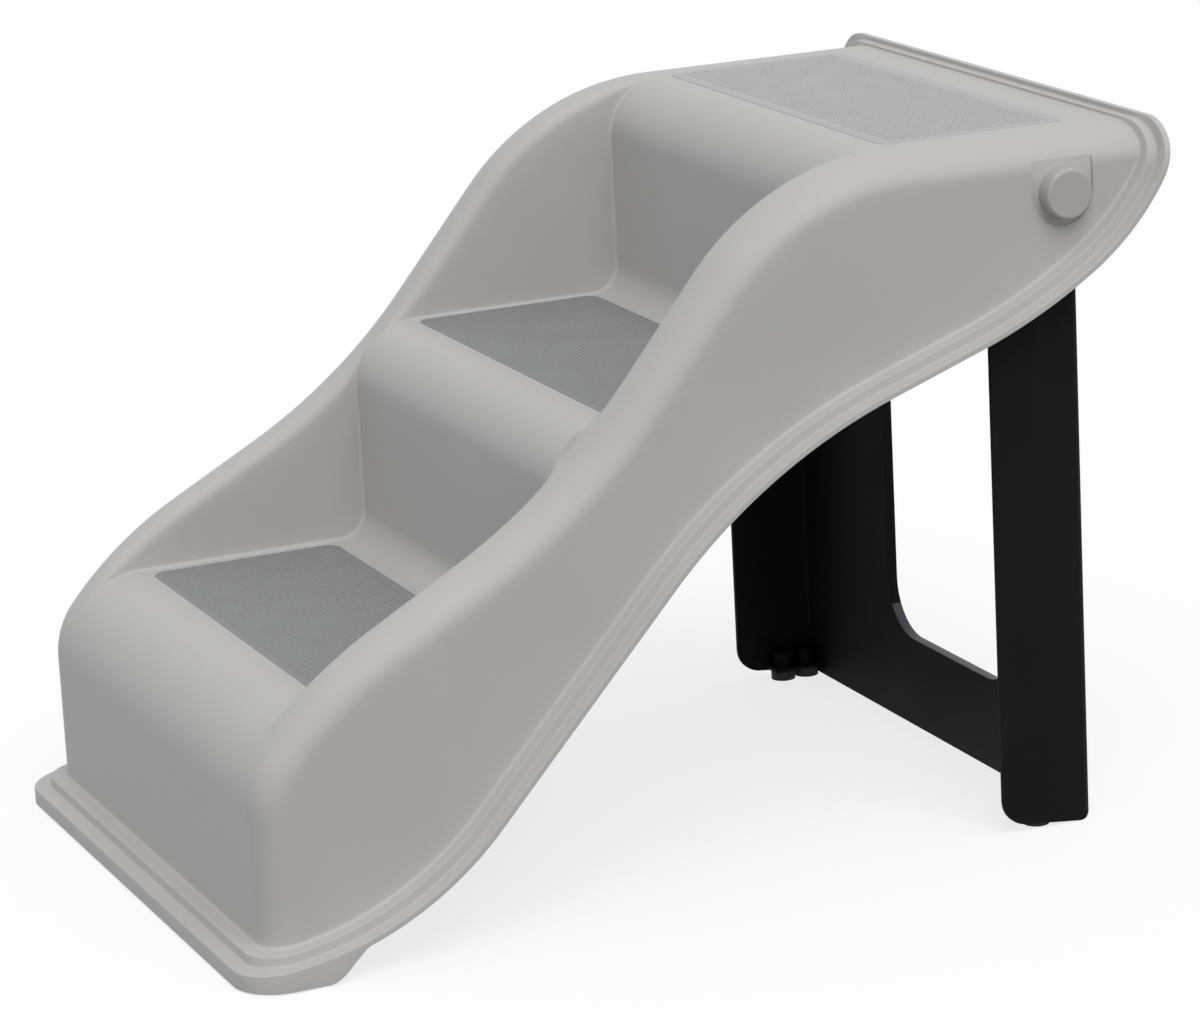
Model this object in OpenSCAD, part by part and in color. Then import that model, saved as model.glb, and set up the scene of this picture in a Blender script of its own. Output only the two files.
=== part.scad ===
// Folding pet stairs: a one-piece moulded stair body with three carpeted treads and side rails,
// standing on its front rim and on a black leg frame that folds forwards under the body.
// The stair climbs along +Y, +X is across the treads, +Z is up, and Z = 0 is the ground.
// Sizes below are measured from the front lip of the rim (Y = 0) before the model is centred.

/* [Steps] */
// Height of the lowest tread above the ground
first_rise = 149; // [130:1:165]
// Height from one tread to the next
rise = 135.5; // [125:0.5:145]
// Depth from one riser to the next
step_depth = 180; // [170:1:195]
// Depth of the lowest step, from the front wall to the second riser
first_step_depth = 202; // [190:1:215]
// Depth of the top platform behind the third riser
platform_depth = 189; // [180:1:205]
// Radius of the rounded nose on the lowest step
first_nose_r = 52; // [44:1:56]
// Radius of the rounded nose on the two upper steps
nose_r = 36; // [28:1:40]
// Radius at the foot of each riser
foot_r = 18; // [12:1:22]

/* [Shell] */
// Wall thickness of the moulded shell
wall = 3; // [2.5:0.1:3.5]
// Half width of the body over its side walls
wall_half = 193.5; // [180:0.5:210]
// How far the inner wall of each rail toes in towards the top, in degrees
taper = 1.17; // [0.9:0.01:1.4]
// Width of each side rail over its two walls, at the front corner on the ground
rail_w = 31; // [28:0.5:34]
// Rounding of the rail's outer edge
rail_outer_r = 18; // [15:0.5:19]
// Rounding of the rail's inner edge
rail_inner_r = 8; // [6:0.5:9]

/* [Rail crest] */
// Radius of the crest above the lowest nose
crest_front_r = 236; // [220:2:250]
// Radius of the hollow between the lower and the upper crest
crest_hollow_r = 350; // [320:5:370]
// Radius of the crest below the platform
crest_top_r = 163; // [150:1:175]

/* [Rim] */
// Reach of the inner ledge of the rim from the wall
ledge_reach = 9.5; // [8:0.5:11]
// Reach of the outer lip beyond the ledge
lip_reach = 9.5; // [8:0.5:11]
// Thickness of the outer lip
lip_t = 3.5; // [3:0.1:4.5]
// Height of the rim from the lip's lower face to the ledge
rim_h = 9.5; // [8.5:0.5:11]
// Corner radius of the lip in plan
lip_corner_r = 27; // [22:1:30]
// Height of the lip above the ground at the front
lip_lift = 4; // [3.5:0.1:5]
// Radius of the rim as it leaves the ground
rim_foot_r = 216; // [200:2:230]
// Radius of the rim's crown under the second riser
rim_crown_r = 346; // [320:2:360]
// Radius of the rim's hollow behind the leg
rim_hollow_r = 342; // [320:2:360]
// Radius of the rim where it turns up at the back
rim_turn_r = 158; // [145:1:170]
// Radius of the rim at its back end
rim_end_r = 60; // [50:1:66]
// Height of the back lip above the platform
back_lip_h = 5; // [4:0.5:9]
// Height of the back ledge above the platform
back_ledge_h = 2; // [1.5:0.5:3.5]
// Length of the front skirt along each side, at the ground
skirt_len = 50; // [40:1:60]

/* [Tread mats] */
// Width of a mat
mat_w = 300; // [280:1:304]
// Depth of a mat
mat_d = 122; // [110:1:124]
// Thickness of a mat
mat_t = 1.8; // [1.5:0.1:2.5]
// Corner radius of a mat
mat_r = 9; // [6:0.5:14]
// Depth of the recess that a mat is bonded into
mat_recess = 1.2; // [0.8:0.1:1.4]
// Gap round a mat in its recess
mat_gap = 0.3; // [0.2:0.05:0.5]
// Distance from the end of a nose's round to its mat
mat_front = 4; // [2:0.5:8]

/* [Leg frame] */
// Distance of the hinge axis from the back of the rim
hinge_back = 64; // [60:1:70]
// Distance of the hinge axis below the platform
hinge_drop = 32.3; // [31:0.1:35]
// Distance from the hinge axis to the leg's back face
leg_back = 13; // [13:0.5:16]
// Distance from the hinge axis to the leg's front edge
leg_front = 49.5; // [44:0.5:52]
// Thickness of the leg's side plates and skins
leg_t = 3; // [2.5:0.1:3.5]
// Depth of the leg's back panel over its ribs
panel_d = 6.5; // [5:0.5:9]
// Radius of the leg's upright back corners
leg_corner_r = 16; // [12:1:18]
// Thickness of the washer between the leg and the side wall
washer_t = 1; // [1:0.1:2]
// Reach of the panel's window to the left of the middle
window_left = 64; // [55:1:75]
// Reach of the window to the right of the middle
window_right = 101; // [75:1:110]
// Height of the cross bar below the window
bar_h = 59; // [50:1:70]
// Height from the hinge axis down to the window's top edge
window_top = 70; // [60:1:80]
// Corner radius of the window
window_r = 33; // [20:1:36]
// Rise of each side plate's lower edge from back to front
plate_slant = 4; // [3:0.5:7]
// Gap between the leg's moulded edge and the ground
leg_lift = 1.2; // [1:0.1:3]
// Rounding of the leg's lower back edge
leg_heel_r = 8; // [5:0.5:9]
// Angle through which the leg folds forwards
fold_angle = 52; // [40:1:52]

/* [Hinge] */
// Diameter of the hinge pin
pin_d = 14; // [12:0.5:16]
// Diameter of the pin's round cap
cap_d = 30; // [26:0.5:32]
// Thickness of the cap
cap_t = 11; // [9:0.5:13]
// Rounding of the cap's rim
cap_round = 2; // [1:0.25:2.5]
// Width of the flat hinge pocket in the side wall
pad_w = 40; // [36:0.5:44]
// Depth of the pocket in the wall
pad_sink = 1.5; // [1:0.1:2]
// Wall of the hinge bush
bush_wall = 2; // [1.5:0.1:2.5]
// Flange thickness of the hinge bush
bush_flange = 1; // [0.8:0.1:2]
// Running clearance of the pin in its bush, on the radius
run_gap = 0.05; // [0.02:0.01:0.1]
// End play between the leg, its washer and the clip
end_play = 0.3; // [0.2:0.05:0.5]
// Thickness of the retaining clip
clip_t = 2; // [1.5:0.1:2.5]
// Depth of the clip's groove in the pin
clip_groove = 1.5; // [1:0.1:2]
// How far the clip stands out round the pin
clip_ring = 2.5; // [1.5:0.5:2.5]

/* [Feet] */
// Diameter of a rubber foot
foot_d = 16; // [14:0.5:16]
// Height of a rubber foot
foot_h = 6; // [5:0.5:8]
// Diameter of a foot screw's shank
screw_d = 4; // [3:0.5:5]
// Length of a foot screw under its head
screw_l = 12; // [10:1:14]
// Diameter of a foot screw's head
screw_head_d = 8; // [7:0.5:9]
// Thickness of a foot screw's head
screw_head_t = 2.4; // [2:0.1:3]

/* [Hidden] */
$fn = 64;

// Headings of the crest and rim curves in the side view, in degrees above level
crest_nose_deg = 50;
crest_low_deg = 28;
crest_steep_deg = 50;
rim_front_deg = 8;
rim_steep_deg = 47;
rim_flat_deg = 19;
rim_mid_deg = 33;
rim_high_deg = 56;
// Angle between the sample points of an outline's arcs
sample_deg = 6;

// One overrun serves every cut, and one overlap every joined solid
over = 1;
lap = 6;
// Joined solids stand this far inside one another, so that no two faces coincide
seam = 0.1;

// Heights and depths of the steps
front_y = ledge_reach + lip_reach;
riser_2 = front_y + first_step_depth;
riser_3 = riser_2 + step_depth;
back_y = riser_3 + platform_depth;
body_len = back_y + ledge_reach;
tread_z = [first_rise, first_rise + rise, first_rise + 2 * rise];
riser_y = [front_y, riser_2, riser_3];
step_nose_r = [first_nose_r, nose_r, nose_r];
top_z = tread_z[2];
slope = atan2(rise, step_depth);
rim_half = wall_half + ledge_reach + lip_reach;
reach = rim_half + body_len;

// Hinge place, and the leg's outline from it
hinge_y = body_len - hinge_back;
hinge_z = top_z - hinge_drop;
leg_len = hinge_z - leg_lift;
pad_x = wall_half - pad_sink;
flank_in = pad_x - wall;
bush_r = pin_d / 2 + run_gap + bush_wall;
leg_half = flank_in - washer_t - end_play - bush_flange;
clip_r = pin_d / 2 + clip_ring;
boss_in = leg_half - leg_t - 2 * lap;
clip_x = boss_in - end_play - clip_t;
pin_in = clip_x - over;
foot_screw_r = screw_d / 2;
foot_inset = foot_d / 2 + over;
leg_foot_back = hinge_y + leg_back - leg_corner_r + over;
leg_foot_y = [leg_foot_back - foot_d - over, leg_foot_back];
leg_foot_x = leg_half - leg_t - foot_inset;
front_foot_x = wall_half - foot_inset;
front_foot_y = front_y + foot_inset + wall;

// How far an inner wall has toed in where the platform ends
toe_in = (back_y * cos(slope) + top_z * sin(slope)) * tan(taper);

// A curve is a start, a heading and steps of [turn, size]: a turn of 0 is a straight of that length,
// and any other turn is an arc of that radius, positive to the left.
function left(h) = [-sin(h), cos(h)];
function ahead(p, h, s) = s[0] == 0
    ? p + s[1] * [cos(h), sin(h)]
    : p + sign(s[0]) * s[1] * (left(h) - left(h + s[0]));
function states(p, h, steps, i = 0) = i == len(steps)
    ? [[p, h]]
    : concat([[p, h]], states(ahead(p, h, steps[i]), h + steps[i][0], steps, i + 1));
// Points along a curve, moved to its left by an offset
function outline(p, h, steps, off) = [for (a = stations(p, h, steps)) a[0] + off * left(a[1])];
// Change of place over an arc from one heading to another
function bend(r, h1, h2) = let (k = sign(h2 - h1)) k * r * (left(h1) - left(h2));
// Lengths of two straights at headings a and b that together span a gap
function straights(gap, a, b) = let (det = cos(a) * sin(b) - cos(b) * sin(a)) [
    (gap[0] * sin(b) - cos(b) * gap[1]) / det,
    (cos(a) * gap[1] - sin(a) * gap[0]) / det,
];

// Crest of a rail: up the front corner, over the lowest nose, and on to the platform
crest_z0 = first_rise - first_nose_r;
crest_start = [front_y, lip_lift + rim_h];
crest_end = [riser_3 + nose_r, top_z];
crest_gap = crest_end - [front_y, crest_z0]
    - bend(first_nose_r, 90, crest_nose_deg)
    - bend(crest_front_r, crest_nose_deg, crest_low_deg)
    - bend(crest_hollow_r, crest_low_deg, crest_steep_deg)
    - bend(crest_top_r, crest_steep_deg, 0);
crest_runs = straights(crest_gap, crest_low_deg, crest_steep_deg);
crest_steps = [
    [0, crest_z0 - crest_start[1]],
    [crest_nose_deg - 90, first_nose_r],
    [crest_low_deg - crest_nose_deg, crest_front_r],
    [0, crest_runs[0]],
    [crest_steep_deg - crest_low_deg, crest_hollow_r],
    [0, crest_runs[1]],
    [-crest_steep_deg, crest_top_r],
];
platform_run = [[0, back_y - crest_end[0]]];

// Lower face of the rim's lip: from the front corner up the side to the back of the platform
rim_start = [lip_corner_r, lip_lift + lip_corner_r * tan(rim_front_deg)];
rim_gap = [body_len - lip_t / 4, top_z] - rim_start
    - bend(rim_foot_r, rim_front_deg, rim_steep_deg)
    - bend(rim_crown_r, rim_steep_deg, rim_flat_deg)
    - bend(rim_hollow_r, rim_flat_deg, rim_mid_deg)
    - bend(rim_turn_r, rim_mid_deg, rim_high_deg)
    - bend(rim_end_r, rim_high_deg, 90);
rim_runs = straights(rim_gap, rim_steep_deg, rim_flat_deg);
rim_steps = [
    [rim_steep_deg - rim_front_deg, rim_foot_r],
    [0, rim_runs[0]],
    [rim_flat_deg - rim_steep_deg, rim_crown_r],
    [0, rim_runs[1]],
    [rim_mid_deg - rim_flat_deg, rim_hollow_r],
    [rim_high_deg - rim_mid_deg, rim_turn_r],
    [90 - rim_high_deg, rim_end_r],
];

// Turns a drawing in (Y, Z) into one that stands in the side view and is extruded along +X
module side_view() rotate([90, 0, 90]) children();

// Carries a solid drawn from a side wall's outer face (X = 0) to that wall, and turns it to the
// inner wall's slant where the solid belongs to that
module flank(slant) translate([wall_half, 0, 0])
    rotate(a = slant, v = [0, -sin(slope), cos(slope)]) children();

module both_sides() {
    children();
    mirror([1, 0, 0]) children();
}

// Places and headings along a curve, close enough together to draw its arcs
function stations(p, h, steps) = let (at = states(p, h, steps)) [
    for (i = [0 : len(steps) - 1])
        let (n = steps[i][0] == 0 ? 1 : ceil(abs(steps[i][0]) / sample_deg))
        for (k = [0 : n - 1])
            let (s = [steps[i][0] * k / n, steps[i][1]])
            k == 0 ? at[i] : [ahead(at[i][0], at[i][1], s), at[i][1] + s[0]],
    at[len(steps)],
];

// Strip that follows a curve in the side view between two offsets to its left, from X = x0 to x1
module strip(p, h, steps, low, high, x0, x1) {
    far = outline(p, h, steps, high);
    translate([x0, 0, 0]) side_view() linear_extrude(x1 - x0) polygon(concat(
        outline(p, h, steps, low), [for (i = [len(far) - 1 : -1 : 0]) far[i]]));
}

// Everything under the stair's top surface in the side view, moved in by an inset
module stair_area(inset) {
    for (i = [0 : 2]) {
        r = step_nose_r[i] - inset;
        y = riser_y[i] + inset;
        z = tread_z[i] - inset;
        translate([y, -reach]) square([back_y - y, reach + z - r]);
        translate([y + r, z - r - over]) square([back_y - y - r, r + over]);
        translate([y + r, z - r]) circle(r);
        if (i < 2) difference() {
            translate([riser_y[i + 1] - foot_r, z - over]) square([foot_r + inset + over, foot_r + inset + over]);
            translate([riser_y[i + 1] - foot_r, tread_z[i] + foot_r]) circle(foot_r + inset);
        }
    }
}

// Everything inside one side, from an inset under its outer face
module inside(inset, slant) flank(slant)
    translate([-inset - 2 * reach, -reach, -reach]) cube([2 * reach, 3 * reach, 3 * reach]);

// Space between the two sides, drawn in by an inset on each side
module span(inset, slant) intersection() {
    inside(inset, slant);
    mirror([1, 0, 0]) inside(inset, slant);
}

// Side-view area above the rim, from a height over the lip's lower face
module above_rim(off) polygon(concat(
    [[-over, rim_start[1] - rim_start[0] * tan(rim_front_deg) + off / cos(rim_front_deg)]],
    outline(rim_start, rim_front_deg, rim_steps, off),
    [[body_len - off, 2 * top_z], [-over, 2 * top_z]]));

// Stair skin: front wall, treads and risers, wide at the front and the platform
module stair_skin() {
    intersection() {
        side_view() translate([0, 0, -reach]) linear_extrude(2 * reach) intersection() {
            difference() {
                stair_area(0);
                stair_area(wall);
            }
            above_rim(rim_h - wall);
        }
        union() {
            span(rail_w - wall / 2, taper);
            intersection() {
                span(rail_outer_r, 0);
                union() {
                    translate([-reach, -over, -over])
                        cube([2 * reach, front_y + foot_r + over, crest_start[1] + lap + over]);
                    translate([-reach, crest_end[0], 0]) cube([2 * reach, reach, reach]);
                }
            }
        }
    }
}

// One side of the body: outer wall, inner wall, rail crest and the two-step rim
module body_side() {
    flank(0) outer_side();
    difference() {
        flank(0) strip(crest_start, 90, crest_steps, seam - wall, -seam, -rail_w - toe_in, 0);
        inside(rail_w, taper);
        flank(0) translate([-rail_outer_r, corner_y, 0]) linear_extrude(reach) difference() {
            translate([0, -rail_outer_r - over]) square([rail_outer_r + over, rail_outer_r + over]);
            circle(rail_outer_r);
        }
    }
    flank(taper) translate([-rail_w, 0, 0]) side_view() linear_extrude(wall) difference() {
        polygon(concat(crest_in, [[crest_end[0], crest_start[1]], [crest_in[0][0], crest_start[1]]]));
        stair_area(wall);
        square([reach, first_rise - first_nose_r / 2]);
    }
}

// What stands square: the front corner, the platform's edge, the rim and the outer wall
module outer_side() {
    front_corner();
    strip(crest_end, 0, platform_run, -wall, 0, -rail_outer_r - lap, 0);
    strip(rim_start, rim_front_deg, rim_steps, 0, lip_t, rim_in, ledge_reach + lip_reach - seam);
    strip(rim_start, rim_front_deg, rim_steps, 0, rim_h, rim_in, ledge_reach - seam);
    strip(rim_start, rim_front_deg, rim_steps, rim_h - wall, rim_h, -wall, ledge_reach - wall / 2);
    translate([-wall, 0, 0]) side_view() linear_extrude(wall) intersection() {
        polygon(concat(
            outline(rim_start, rim_front_deg, rim_steps, rim_h - wall / 2),
            [[back_y, top_z - wall / 2]],
            [for (i = [len(crest_in) - 1 : -1 : 1]) crest_in[i]]));
        translate([corner_y, 0]) square([reach, reach]);
    }
}
rim_in = ledge_reach - wall - seam;
crest_in = outline(crest_start, 90, crest_steps, -wall / 2);
corner_y = front_y + rail_outer_r;

// Upright round corner between the front wall and a side wall, below the crest
module front_corner() intersection() {
    translate([-rail_outer_r, corner_y, 0]) linear_extrude(reach) {
        difference() {
            circle(rail_outer_r);
            circle(rail_outer_r - wall);
            translate([-reach, -reach]) square([reach, 2 * reach]);
            translate([-reach, 0]) square([2 * reach, reach]);
        }
        translate([rail_outer_r - wall, 0]) square([wall, lap]);
    }
    translate([-reach, 0, 0]) side_view() linear_extrude(2 * reach) polygon(concat(
        [[0, crest_start[1] - wall / 2]],
        crest_in,
        [[crest_end[0], crest_start[1] - wall / 2]]));
}

// Plan of the body at the front: the lip's outline moved in by an inset
module plan(inset) {
    x = rim_half - inset;
    r = lip_corner_r - inset * (lip_corner_r - rail_outer_r) / front_y;
    translate([-x, inset + r]) square([2 * x, lip_corner_r + lap - r]);
    translate([r - x, inset]) square([2 * x - 2 * r, r + over]);
    for (k = [-1, 1]) translate([k * (x - r), inset + r]) circle(r);
}

// Front of the rim with its two corners, and the skirt that stands on the ground
module front_rim() {
    translate([0, lip_t * sin(rim_front_deg), lip_lift - seam]) rotate([rim_front_deg, 0, 0]) {
        band(0, lip_reach + wall, 0, lip_t);
        band(lip_reach, lip_reach + wall, 0, rim_h);
        band(lip_reach, front_y + wall, rim_h - wall, wall);
    }
    intersection() {
        linear_extrude(reach) difference() {
            skirt_plan(lip_t / 4);
            skirt_plan(lip_t / 4 + wall);
        }
        side_view() translate([0, 0, -reach]) linear_extrude(2 * reach) polygon(concat(
            [[-over, leg_lift / 2], [-over, lip_lift + lip_t / 2]],
            [for (q = outline(rim_start, rim_front_deg, rim_steps, lip_t / 2))
                if (q[0] < skirt_len + rim_start[0]) q],
            [[skirt_len, leg_lift / 2]]));
    }
}

module skirt_plan(inset) {
    plan(inset);
    translate([-rim_half + inset, lip_corner_r + lap]) square([2 * (rim_half - inset), skirt_len]);
}

module band(from, to, bottom, height) translate([0, 0, bottom]) linear_extrude(height)
    intersection() {
        difference() {
            skirt_plan(from);
            skirt_plan(to);
        }
        translate([-reach, 0]) square([2 * reach, lip_corner_r + over]);
    }

// Arch outline in (X, Z) for the back of the rim: half width, top and corner radius
module arch(half, top, r) {
    translate([-half, top - reach]) square([2 * half, reach - r]);
    translate([r - half, top - r - over]) square([2 * half - 2 * r, r + over]);
    for (k = [-1, 1]) translate([k * (half - r), top - r]) circle(r);
}

// Back of the rim over the platform's edge: a low ledge and a higher lip
module back_rim() {
    foot = top_z - rim_end_r / 4;
    module ring(u, top, r, y0, depth) translate([0, y0 + depth, 0]) rotate([90, 0, 0])
        linear_extrude(depth) intersection() {
            difference() {
                arch(wall_half + u, top, r);
                arch(wall_half - wall, top_z - wall, rail_outer_r - wall);
            }
            translate([-reach, foot]) square([2 * reach, reach]);
        }
    ring(ledge_reach + lip_reach, top_z + back_lip_h, lip_corner_r, body_len - lip_t, lip_t);
    ring(ledge_reach, top_z + back_ledge_h, rail_outer_r, body_len - rim_h, rim_h);
}

// Recess for a mat in a tread, and the mat itself, by the index of the tread
module mat_shape(i, grow) {
    r = mat_r + grow;
    x = mat_w / 2 + grow;
    y0 = riser_y[i] + step_nose_r[i] + mat_front - grow;
    d = mat_d + 2 * grow;
    translate([-x, y0 + r]) square([2 * x, d - 2 * r]);
    translate([r - x, y0]) square([2 * x - 2 * r, d]);
    for (k = [-1, 1], y = [y0 + r, y0 + d - r]) translate([k * (x - r), y]) circle(r);
}

// Ribs under a tread, between its riser and the next
module tread_ribs(i) {
    end = i < 2 ? riser_y[i + 1] : hinge_y - leg_front - lap;
    drop = i < 2 ? rise / 2 : hinge_drop;
    for (k = [-1, 1]) translate([k * mat_w / 4 - wall / 2, 0, 0]) side_view() linear_extrude(wall)
        polygon([
            [riser_y[i] + wall / 2, tread_z[i] - wall / 2 - step_nose_r[i]],
            [riser_y[i] + wall / 2, tread_z[i] - wall / 2 - step_nose_r[i] - drop / 2],
            [riser_y[i] + wall + step_nose_r[i] / 2, tread_z[i] - wall / 2 - step_nose_r[i] - drop / 2],
            [end, tread_z[i] - wall - lap],
            [end, tread_z[i] - wall / 2],
            [riser_y[i] + step_nose_r[i], tread_z[i] - wall / 2],
        ]);
}

// Pocket in each side wall round the hinge, from one X to another, grown by the wall behind it
module hinge_pocket(x0, x1, grow) translate([x0, 0, 0]) side_view() linear_extrude(x1 - x0) {
    translate([hinge_y, hinge_z]) circle(pad_w / 2 + grow);
    translate([hinge_y - pad_w / 2 - grow, hinge_z]) square([pad_w + 2 * grow, hinge_drop - wall / 2]);
}

module hinge_bore(r) translate([0, hinge_y, hinge_z]) rotate([0, 90, 0]) cylinder(r = r, h = reach);

// Ribs under the platform that the leg's top edge meets when it stands open
module leg_stop() for (k = [-1, 1]) translate([k * mat_w / 3 - lap / 2, hinge_y, leg_top + end_play])
    cube([lap, leg_back, top_z - wall / 2 - leg_top - end_play]);
leg_top = hinge_z + leg_back;

// Boss above a front foot, for its screw
module front_boss() translate([front_foot_x, front_foot_y, foot_h]) {
    cylinder(d = foot_d, h = screw_l - foot_h + lap);
    translate([0, -wall / 2, screw_l - foot_h + lap - wall]) cube([foot_inset, wall, wall]);
    translate([-wall / 2, front_y + wall / 2 - front_foot_y, 0])
        cube([wall, front_foot_y - front_y, screw_l - foot_h + lap]);
    translate([0, -wall / 2, 0]) cube([foot_inset - wall / 2, wall, screw_l - foot_h + lap]);
}

module step_body() color([0.76, 0.74, 0.71]) difference() {
    union() {
        stair_skin();
        both_sides() body_side();
        front_rim();
        back_rim();
        for (i = [0 : 2]) tread_ribs(i);
        both_sides() hinge_pocket(flank_in, wall_half - wall / 2, wall);
        leg_stop();
        both_sides() front_boss();
    }
    for (i = [0 : 2]) translate([0, 0, tread_z[i] - mat_recess]) linear_extrude(mat_recess + over)
        mat_shape(i, mat_gap);
    both_sides() intersection() {
        hinge_pocket(pad_x, wall_half + over, 0);
        translate([0, 0, -over]) cube([reach, reach, top_z - rail_outer_r / 2 + over]);
    }
    both_sides() hinge_bore(pin_d / 2);
    both_sides() translate([front_foot_x, front_foot_y, -over]) cylinder(r = foot_screw_r, h = screw_l + over);
}

module mat(i) color(i == 2 ? [0.66, 0.66, 0.66] : [0.55, 0.57, 0.59])
    translate([0, 0, tread_z[i] - mat_recess]) linear_extrude(mat_t) mat_shape(i, 0);
module mat_low() mat(0);
module mat_mid() mat(1);
module mat_top() mat(2);

// Side view of a side plate: round at the hinge, straight to the ground, slanted below
module plate_area() {
    y0 = hinge_y - leg_front;
    y1 = hinge_y + leg_back;
    difference() {
        union() {
            translate([hinge_y, hinge_z]) circle(leg_back);
            polygon([[y0, leg_lift], [y1, leg_lift], [y1, hinge_z],
                     [hinge_y - leg_back, hinge_z], [y0, hinge_z - window_top]]);
            translate([hinge_y, hinge_z]) square([leg_back, leg_back]);
        }
        polygon([[y0 - over, leg_lift - over], [y0 - over, leg_lift + plate_slant],
                 [y1 - leg_corner_r, leg_lift], [y1 - leg_corner_r, leg_lift - over]]);
        difference() {
            translate([y0 - over, leg_lift - over])
                square([window_r / 2 + over, plate_slant + window_r / 2 + over]);
            translate([y0 + window_r / 2, leg_lift + plate_slant + window_r / 2 - over]) circle(window_r / 2);
        }
        difference() {
            translate([y1 - leg_heel_r, leg_lift - over]) square([leg_heel_r + over, leg_heel_r + over]);
            translate([y1 - leg_heel_r, leg_lift + leg_heel_r]) circle(leg_heel_r);
        }
    }
}

// Right half of the leg's plan, past the middle, moved in by an inset
module leg_plan(inset) {
    x0 = -leg_corner_r - inset * lap;
    x1 = leg_half - inset;
    y0 = hinge_y - leg_front - (inset > 0 ? over : 0);
    y1 = hinge_y + leg_back - inset;
    r = leg_corner_r - inset;
    translate([x0, y0]) square([x1 - x0, y1 - y0 - r]);
    translate([x0, y1 - r - over]) square([x1 - r - x0, r + over]);
    translate([x1 - r, y1 - r]) circle(r);
}

// Carries that half up and down
module upright() translate([0, 0, -reach]) linear_extrude(2 * reach) children();

// A frame round the window and along the panel's edges, as deep as the panel
module window_shape(grow) {
    x0 = -window_left - grow;
    x1 = window_right + grow;
    r = window_r + grow;
    z0 = bar_h - grow;
    z1 = hinge_z - window_top + grow;
    translate([x0, z0 + r]) square([x1 - x0, z1 - z0 - 2 * r]);
    translate([x0 + r, z0]) square([x1 - x0 - 2 * r, z1 - z0]);
    for (x = [x0 + r, x1 - r], z = [z0 + r, z1 - r]) translate([x, z]) circle(r);
}

module leg_frame() color([0.05, 0.05, 0.06]) difference() {
    union() {
        intersection() {
            both_sides() upright() difference() {
                leg_plan(0);
                leg_plan(leg_t);
            }
            translate([-reach, 0, 0]) side_view() linear_extrude(2 * reach) plate_area();
        }
        intersection() {
            both_sides() upright() leg_plan(leg_t / 2);
            union() {
                translate([0, hinge_y + leg_back - leg_t / 2, 0]) rotate([90, 0, 0])
                    linear_extrude(panel_d - leg_t / 2) difference() {
                        window_shape(leg_t);
                        window_shape(0);
                    }
                for (z = [leg_top - leg_t, bar_h - lap - 2 * leg_t])
                    translate([-reach, hinge_y + leg_back - panel_d, z])
                        cube([2 * reach, panel_d - leg_t / 2, leg_t]);
                both_sides() translate([leg_foot_x - foot_inset + over, leg_foot_y[0] - foot_inset, foot_h])
                    cube([2 * foot_inset + lap, reach, leg_t]);
                for (k = [-1, 1], y = leg_foot_y) translate([k * leg_foot_x, y, foot_h])
                    cylinder(d = screw_head_d + leg_t, h = screw_l);
                translate([-reach, hinge_y + leg_back - panel_d, foot_h])
                    cube([2 * reach, panel_d - leg_t / 2, leg_t]);
            }
        }
        both_sides() translate([boss_in, hinge_y, hinge_z]) rotate([0, 90, 0])
            cylinder(r = bush_r + leg_t, h = leg_half - boss_in);
    }
    translate([0, hinge_y + leg_back + over, 0]) rotate([90, 0, 0])
        linear_extrude(panel_d + 2 * over) window_shape(0);
    both_sides() hinge_bore(bush_r);
    for (k = [-1, 1], y = leg_foot_y) translate([k * leg_foot_x, y, 0]) cylinder(r = foot_screw_r, h = screw_l);
}

// Round cap and shaft that the leg turns on, with a groove for the clip
module pivot_pin() color([0.7, 0.69, 0.67]) translate([0, hinge_y, hinge_z]) rotate([0, 90, 0]) {
    rotate_extrude() difference() {
        union() {
            translate([0, pin_in]) square([pin_d / 2, pad_x - pin_in + over]);
            translate([0, pad_x]) square([cap_d / 2 - cap_round, cap_t]);
            translate([0, pad_x]) square([cap_d / 2, cap_t - cap_round]);
            translate([cap_d / 2 - cap_round, pad_x + cap_t - cap_round]) circle(cap_round);
        }
        translate([pin_d / 2 - clip_groove, clip_x]) square([clip_groove + over, clip_t]);
    }
}

// Flanged bush pressed into the leg, running on the pin
module pivot_bush() color([0.85, 0.85, 0.82]) translate([0, hinge_y, hinge_z]) rotate([0, 90, 0])
    rotate_extrude() difference() {
        union() {
            translate([0, boss_in]) square([bush_r, leg_half - boss_in]);
            translate([0, leg_half]) square([bush_r + bush_wall, bush_flange]);
        }
        translate([0, leg_half - reach]) square([pin_d / 2 + run_gap, 2 * reach]);
    }

// Thrust washer between the bush's flange and the body's wall
module pivot_washer() color([0.8, 0.8, 0.78])
    translate([flank_in - washer_t, hinge_y, hinge_z]) rotate([0, 90, 0]) difference() {
        cylinder(r = bush_r + bush_wall, h = washer_t);
        translate([0, 0, -over]) cylinder(r = pin_d / 2 + run_gap, h = washer_t + 2 * over);
    }

// Retaining clip, snapped into the pin's groove behind the leg
module pivot_clip() color([0.6, 0.6, 0.62]) translate([clip_x, hinge_y, hinge_z]) rotate([0, 90, 0])
    difference() {
        cylinder(r = clip_r, h = clip_t);
        translate([0, 0, -over]) cylinder(r = pin_d / 2 - clip_groove, h = clip_t + 2 * over);
        translate([-(pin_d / 2 - clip_groove), 0, -over])
            cube([pin_d - 2 * clip_groove, clip_r + over, clip_t + 2 * over]);
    }

// Rubber foot with a recess for its screw's head
module foot_pad(x, y) color([0.12, 0.12, 0.12]) translate([x, y, 0]) difference() {
    cylinder(d = foot_d, h = foot_h);
    translate([0, 0, -over]) cylinder(d = screw_head_d + 2 * mat_gap, h = screw_head_t + over + lip_t / 4);
    cylinder(r = foot_screw_r, h = foot_h + over);
}

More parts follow.
